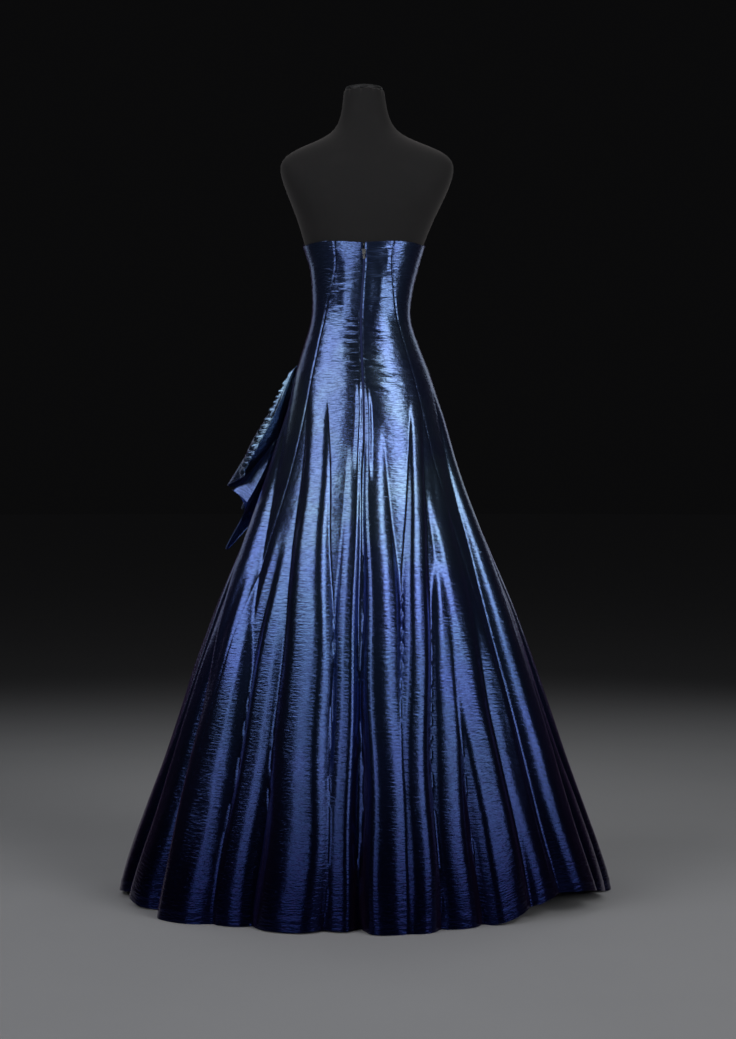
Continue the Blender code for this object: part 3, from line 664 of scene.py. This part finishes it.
def add_tier(tier, flutes, ruched):
    """One tier of the hip drape: gathered at its top, fluted at its foot, and ruched or not at its back."""

    def surface(across, down):
        share = np.clip(across, 0, 1)
        angle = part_way(part_way(*tier.top_angles, across), part_way(*tier.foot_angles, across), down)
        level = part_way(tier.top, through(flutes, "foot", share), down)
        stand_off = through(flutes, "out", share) * np.clip(down, 0, None) ** FLARE
        stand_off = stand_off + gather_out(across, down)
        if ruched:
            stand_off = stand_off + ruche_out(across, down)
        height = real_height(angle, level)
        base = figure_out(angle, height) + fold_out(angle, height)
        return ring_point(angle, height, base + WALL + GAP + stand_off)

    across, down = np.meshgrid(np.linspace(0, 1, TIER_COLUMNS + 1), np.linspace(0, 1, TIER_ROWS + 1))
    thickness = TIER_CLOTH + FOOT_ROLL * bell((1 - down) / FOOT_ROLL_SHARE)
    for inward in (across, 1 - across):
        thickness = thickness + SIDE_ROLL * bell(inward / SIDE_ROLL_SHARE)
    outer, inner = wall_faces(surface, across, down, thickness)
    piece = add_shell(tier.name, outer, inner)
    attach(piece, "gown_on_form")
    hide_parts(tier.node)
    return piece


# ---------------------------------------------------------------------------- the zip


def coil_turn():
    """One turn of the coil, modelled once: a bar with its edges rounded."""
    deselect_all()
    bpy.ops.mesh.primitive_cube_add(size=1)
    turn = bpy.context.object
    turn.scale = TURN_SIZE
    bpy.ops.object.transform_apply(location=False, rotation=False, scale=True)
    bevel = turn.modifiers.new("round", "BEVEL")
    bevel.width, bevel.segments = TURN_ROUND, 1
    bpy.ops.object.modifier_apply(modifier=bevel.name)
    points = np.array([v.co for v in turn.data.vertices])
    faces = [list(p.vertices) for p in turn.data.polygons]
    bpy.data.objects.remove(turn, do_unlink=True)
    return points, faces


def zip_core(heights):
    """The strip that joins the coil's turns, as points in rings of four and the faces between them."""
    level, side = np.meshgrid(heights[::CORE_EVERY], [-1.0, 1.0], indexing="ij")
    angle = parted(0 * level, level, CORE_HALF * side)
    front = gown_point(angle, level, -COIL_SINK - CORE_FRONT)
    rear = gown_point(angle, level, -COIL_SINK - CORE_REAR)
    points = np.stack([front[:, 0], front[:, 1], rear[:, 1], rear[:, 0]], axis=1)
    rings = np.arange(4 * len(points)).reshape(-1, 4)
    after = np.roll(rings, -1, axis=1)
    sides = np.stack([rings[:-1], after[:-1], after[1:], rings[1:]], axis=-1).reshape(-1, 4)
    return points.reshape(-1, 3), sides.tolist() + [rings[0].tolist(), rings[-1].tolist()]


def add_zip_coil():
    """The closed coil of the zip: its turns, set side by side in two rows down the core that joins them."""
    heights = np.arange(ZIP_END + COIL_INSET, ZIP_TOP - COIL_INSET, COIL_PITCH)
    middle = 0 * heights
    places = gown_point(middle, heights, -COIL_SINK)
    rises = gown_point(middle, heights + STEP, -COIL_SINK) - gown_point(middle, heights - STEP, -COIL_SINK)
    rises /= np.linalg.norm(rises, axis=-1, keepdims=True)
    across = np.array([1.0, 0.0, 0.0])
    turn, turn_faces = coil_turn()
    parts = []
    for k, (place, rise, out) in enumerate(zip(places, rises, np.cross(rises, across))):
        shift = COIL_SHIFT * (1 if k % 2 else -1)
        points = place + (turn[:, :1] + shift) * across + turn[:, 1:2] * out + turn[:, 2:] * rise
        parts.append((points, turn_faces))
    parts.append(zip_core(heights))
    faces, first = [], 0
    for points, part_faces in parts:
        faces += [[i + first for i in face] for face in part_faces]
        first += len(points)
    piece = new_piece("zip_coil", np.concatenate([points for points, _ in parts]), faces, SHARP_COIL)
    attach(piece, "gown_on_form")
    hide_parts("zip_chain")
    return piece


# ---------------------------------------------------------------------------- the dress form


def add_form_body():
    """The form's torso: the CAD node's shape with its doubles merged and its facets smoothed away."""
    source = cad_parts["form_torso"]
    piece = source.copy()
    piece.data = source.data.copy()
    piece.name = piece.data.name = "form_body"
    for key in list(piece.keys()):
        del piece[key]
    piece.parent = None
    piece.data.materials.clear()
    bpy.context.collection.objects.link(piece)
    deselect_all()
    bpy.context.view_layer.objects.active = piece
    piece.select_set(True)
    bpy.ops.object.mode_set(mode="EDIT")
    bpy.ops.mesh.select_all(action="SELECT")
    bpy.ops.mesh.remove_doubles(threshold=SAME_POINT)
    bpy.ops.mesh.tris_convert_to_quads()
    bpy.ops.object.mode_set(mode="OBJECT")
    smooth = piece.modifiers.new("smooth", "SUBSURF")
    smooth.levels = smooth.render_levels = 1
    bpy.ops.object.modifier_apply(modifier=smooth.name)
    piece.data.shade_smooth()
    piece.data.set_sharp_from_angle(angle=np.radians(SHARP_FORM))
    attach(piece, "gown_on_form")
    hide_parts("form_torso")
    return piece


# ---------------------------------------------------------------------------- materials


def operation(name, swapped=False):
    """A method that adds one Math node."""

    def apply(self, other=0.0):
        pair = (other, self) if swapped else (self, other)
        return self.paint.node("ShaderNodeMath", {"operation": name}, pair)

    return apply


class Value:
    """A value that varies over a surface, for Python expressions."""

    def __init__(self, paint, socket):
        self.paint, self.socket = paint, socket

    __add__, __radd__ = operation("ADD"), operation("ADD", True)
    __mul__, __rmul__ = operation("MULTIPLY"), operation("MULTIPLY", True)
    sine = operation("SINE")

    def between(self, low, high):
        """0 below low, 1 above high, and a soft rise between."""
        values = {"Value": self, "From Min": low, "From Max": high}
        return self.paint.node("ShaderNodeMapRange", {"interpolation_type": "SMOOTHSTEP"}, values)


class Paint:
    """A finish, built round one Principled shader. Its plain numbers are set on the shader's own sockets."""

    def __init__(self, name, **numbers):
        self.material = bpy.data.materials.new(name)
        self.material.use_nodes = True
        self.tree = self.material.node_tree
        self.shader = self.tree.nodes["Principled BSDF"]
        for key, number in numbers.items():
            self.shader.inputs[key.replace("_", " ")].default_value = number

    def node(self, kind, settings, values, output=0):
        """A node of this kind: its settings, then its sockets' values or links, by name or in order."""
        made = self.tree.nodes.new(kind)
        for key, setting in settings.items():
            setattr(made, key, setting)
        for key, value in values.items() if isinstance(values, dict) else enumerate(values):
            if isinstance(value, Value):
                self.tree.links.new(value.socket, made.inputs[key])
            else:
                made.inputs[key].default_value = value
        return Value(self, made.outputs[output])

    def place(self):
        """Object coordinates, in metres."""
        return self.node("ShaderNodeTexCoord", {}, {}, output="Object")

    def cloth(self):
        """The cloth's own coordinates, in metres."""
        return self.node("ShaderNodeUVMap", {"uv_map": "cloth"}, {})

    def stretched(self, vector, scale):
        return self.node("ShaderNodeMapping", {}, {"Vector": vector, "Scale": scale})

    def noise(self, vector, scale, detail=2.0, roughness=0.5):
        values = {"Vector": vector, "Scale": scale, "Detail": detail, "Roughness": roughness}
        return self.node("ShaderNodeTexNoise", {}, values)

    def axis(self, vector, name):
        return self.node("ShaderNodeSeparateXYZ", {}, (vector,), output=name)

    def mix(self, factor, a, b):
        return self.node("ShaderNodeMix", {"data_type": "RGBA"}, {0: factor, 6: a, 7: b}, output=2)

    def bump(self, height, distance, strength=1.0, under=None):
        """Relief whose full height is this distance, in metres, laid over the relief under it."""
        values = {"Height": height, "Distance": distance, "Strength": strength}
        if under is not None:
            values["Normal"] = under
        return self.node("ShaderNodeBump", {}, values)

    def feed(self, **values):
        """Links values to the shader's sockets, and gives back the finished material."""
        for key, value in values.items():
            self.tree.links.new(value.socket, self.shader.inputs[key.replace("_", " ")])
        return self.material


def taffeta_finish():
    """Shot taffeta: blue warp over a near-black weft, crisp and slubbed, with a metallic shine. Its blue is
    graded by height as painted light: painted shade darkens it towards the hem, and a painted highlight pales
    it over the hips.
    """
    paint = Paint(
        "shot_taffeta",
        Metallic=0.94,
        Sheen_Weight=0.42,
        Sheen_Roughness=0.38,
        Sheen_Tint=(0.27, 0.13, 0.40, 1),
    )
    place, cloth = paint.place(), paint.cloth()
    height = paint.axis(place, "Z")
    blotch = paint.noise(place, 5.5, detail=3.0, roughness=0.55)
    slub = paint.noise(paint.stretched(cloth, (70.0, 420.0, 1.0)), 1.0, detail=3.0, roughness=0.6)

    painted_shade_midnight, cornflower, painted_highlight_ice = (0.003, 0.008, 0.045, 1), (0.068, 0.122, 0.285, 1), (0.205, 0.320, 0.440, 1)
    royal, violet, weft = (0.085, 0.145, 0.400, 1), (0.064, 0.086, 0.350, 1), (0.016, 0.010, 0.060, 1)
    # This grade by height is painted light, not dye: painted shade makes the blue near black towards the hem,
    # a painted highlight pales it from mid-skirt to the hips, and it turns royal blue at the waist and
    # bodice.
    blue = paint.mix(height.between(0.02, 0.70), painted_shade_midnight, cornflower)
    blue = paint.mix(height.between(0.46, 0.98) * 0.90, blue, painted_highlight_ice)
    blue = paint.mix(height.between(1.03, 1.20) * 0.65, blue, royal)
    blue = paint.mix(height.between(0.05, 0.75) * blotch.between(0.40, 0.64) * 0.55, blue, violet)
    blue = paint.mix(slub.between(0.38, 0.74) * 0.45, blue, weft)

    thread = paint.noise(paint.stretched(cloth, (85.0, 290.0, 1.0)), 1.0, roughness=0.55)
    drag = paint.noise(paint.stretched(cloth, (44.0, 210.0, 1.0)), 1.0)
    crumple = paint.noise(place, 17.0, detail=3.0)
    rib = (paint.axis(cloth, "Y") * (2 * np.pi / RIB_PITCH)).sine()
    relief = paint.bump(rib, 0.00002, strength=0.3)
    relief = paint.bump(thread, 0.00045, under=relief)
    relief = paint.bump(drag, 0.0006, under=relief)
    relief = paint.bump(crumple, 0.0016, under=relief)
    return paint.feed(Base_Color=blue, Roughness=0.14 + slub * 0.14, Normal=relief)


def jersey_finish():
    """The form's cover: matt black cotton jersey, a little dusty."""
    paint = Paint("form_jersey", Sheen_Weight=0.25, Sheen_Roughness=0.5, Sheen_Tint=(0.55, 0.50, 0.48, 1))
    place = paint.place()
    dust = paint.noise(place, 22.0, detail=5.0, roughness=0.65)
    knit = paint.noise(paint.stretched(place, (900.0, 900.0, 500.0)), 1.0, detail=1.0)
    black, dusty = (0.0085, 0.0080, 0.0082, 1), (0.018, 0.0165, 0.0165, 1)
    colour = paint.mix(dust.between(0.45, 0.75) * 0.5, black, dusty)
    relief = paint.bump(knit, 0.00025, strength=0.6)
    return paint.feed(Base_Color=colour, Roughness=0.78 + dust * 0.14, Normal=relief)


def stand_finish():
    """Satin black enamel on steel, with a faint orange peel and rubbed spots."""
    paint = Paint("stand_enamel", Specular_IOR_Level=0.45)
    place = paint.place()
    peel = paint.noise(place, 420.0)
    rub = paint.noise(place, 17.0, detail=6.0, roughness=0.7)
    black, rubbed = (0.0100, 0.0100, 0.0108, 1), (0.030, 0.029, 0.028, 1)
    colour = paint.mix(rub.between(0.60, 0.72) * 0.6, black, rubbed)
    relief = paint.bump(peel, 0.00006, strength=0.4)
    return paint.feed(Base_Color=colour, Roughness=0.42 + rub * 0.20, Normal=relief)


def coil_finish():
    """The zip's nylon: dark blue, with a soft shine."""
    paint = Paint("zip_nylon", Sheen_Weight=0.1)
    thread = paint.noise(paint.place(), 1500.0)
    colour = paint.mix(thread, (0.010, 0.020, 0.095, 1), (0.022, 0.040, 0.170, 1))
    relief = paint.bump(thread, 0.00005, strength=0.5)
    return paint.feed(Base_Color=colour, Roughness=0.36 + thread * 0.2, Normal=relief)


def nickel_finish():
    """Bright nickel plate, finely scratched and a little worn."""
    paint = Paint("nickel_plate", Metallic=1.0)
    place = paint.place()
    scratch = paint.noise(paint.stretched(place, (9000.0, 9000.0, 700.0)), 1.0, detail=3.0, roughness=0.6)
    worn = paint.noise(place, 260.0, detail=3.0)
    colour = paint.mix(worn.between(0.4, 0.7), (0.74, 0.75, 0.77, 1), (0.58, 0.57, 0.55, 1))
    relief = paint.bump(scratch, 0.00002, strength=0.5)
    return paint.feed(Base_Color=colour, Roughness=0.16 + scratch * 0.16, Normal=relief)


def floor_finish():
    """The studio floor: matt and pale round the gown, darkened by painted shade further off, where a painted
    glow makes it as bright as the backdrop.
    """
    paint = Paint("studio_floor", Emission_Strength=1.0)
    place = paint.place()
    grain = paint.noise(place, 3.0, detail=4.0)
    # Painted shade: the floor's colour darkens with distance from the gown.
    far = paint.node("ShaderNodeVectorMath", {"operation": "LENGTH"}, (place,), output=1).between(*FLOOR_FADE)
    tone = paint.mix(far, FLOOR_PALE, FLOOR_DARK)
    tone = paint.mix(grain * 0.08, tone, FLOOR_DARK)
    # A painted glow: the far floor gives off light as bright as the backdrop, though it is no lamp.
    painted_glow = paint.mix(far, (0, 0, 0, 1), BACKDROP)
    return paint.feed(Base_Color=tone, Roughness=0.80 + grain * 0.1, Emission_Color=painted_glow)


def wear(pieces, material):
    for piece in pieces:
        piece.data.materials.clear()
        piece.data.materials.append(material)


# ---------------------------------------------------------------------------- the studio and camera


def add_stage():
    """A round, flat floor, pale under the gown, with painted shade and a painted glow further off."""
    deselect_all()
    bpy.ops.mesh.primitive_circle_add(vertices=96, radius=STAGE_RADIUS, fill_type="NGON")
    stage = bpy.context.object
    stage.name = stage.data.name = "studio_floor"
    stage.data.materials.append(floor_finish())


def add_lamp(lamp):
    data = bpy.data.lights.new(lamp.name, "AREA")
    data.shape, data.size, data.size_y = "RECTANGLE", lamp.wide, lamp.tall
    data.energy, data.color = lamp.watts, lamp.colour
    box = bpy.data.objects.new(lamp.name, data)
    box.location = lamp.place
    box.rotation_euler = (Vector(lamp.aim) - Vector(lamp.place)).to_track_quat("-Z", "Y").to_euler()
    box.visible_camera = False
    bpy.context.collection.objects.link(box)


def add_lights():
    """Softboxes to both sides of the camera, dimmer low down, and weak lamps in front and overhead."""
    for box in SOFTBOXES:
        turn, middle = np.radians(box.turn), (box.foot + box.head) / 2
        place = (SOFTBOX_REACH * np.sin(turn), -SOFTBOX_REACH * np.cos(turn), middle)
        tall = box.head - box.foot
        add_lamp(Lamp(box.name, place, (0, 0, middle), box.wide, tall, box.watts, box.colour))
    for lamp in WEAK_LAMPS:
        add_lamp(lamp)
    world = bpy.data.worlds.new("studio")
    world.use_nodes = True
    world.node_tree.nodes["Background"].inputs["Color"].default_value = BACKDROP
    bpy.context.scene.world = world


def add_camera():
    """Level with the hips, 4.1 m behind the gown, tipped down a little."""
    data = bpy.data.cameras.new("camera")
    data.lens, data.sensor_width = LENS, SENSOR
    camera = bpy.data.objects.new("camera", data)
    camera.location = CAMERA_PLACE
    camera.rotation_euler = (np.radians(90 - CAMERA_TIP), 0, 0)
    bpy.context.collection.objects.link(camera)
    bpy.context.scene.camera = camera


# ---------------------------------------------------------------------------- build


def main():
    gores = add_gores()
    tiers = [
        add_tier(UPPER_TIER, UPPER_FLUTES, ruched=True),
        add_tier(LOWER_TIER, LOWER_FLUTES, ruched=False),
    ]
    wear(gores + tiers, taffeta_finish())
    wear([add_zip_coil()], coil_finish())
    wear([add_form_body()], jersey_finish())
    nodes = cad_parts
    wear([nodes[n] for n in ("zip_slider", "zip_pull", "hook", "eye")], nickel_finish())
    wear([nodes[n] for n in ("neck_cap", "pole", "base_disc")], stand_finish())
    add_stage()
    add_lights()
    add_camera()
    bpy.context.scene.view_settings.view_transform = "Standard"


main()
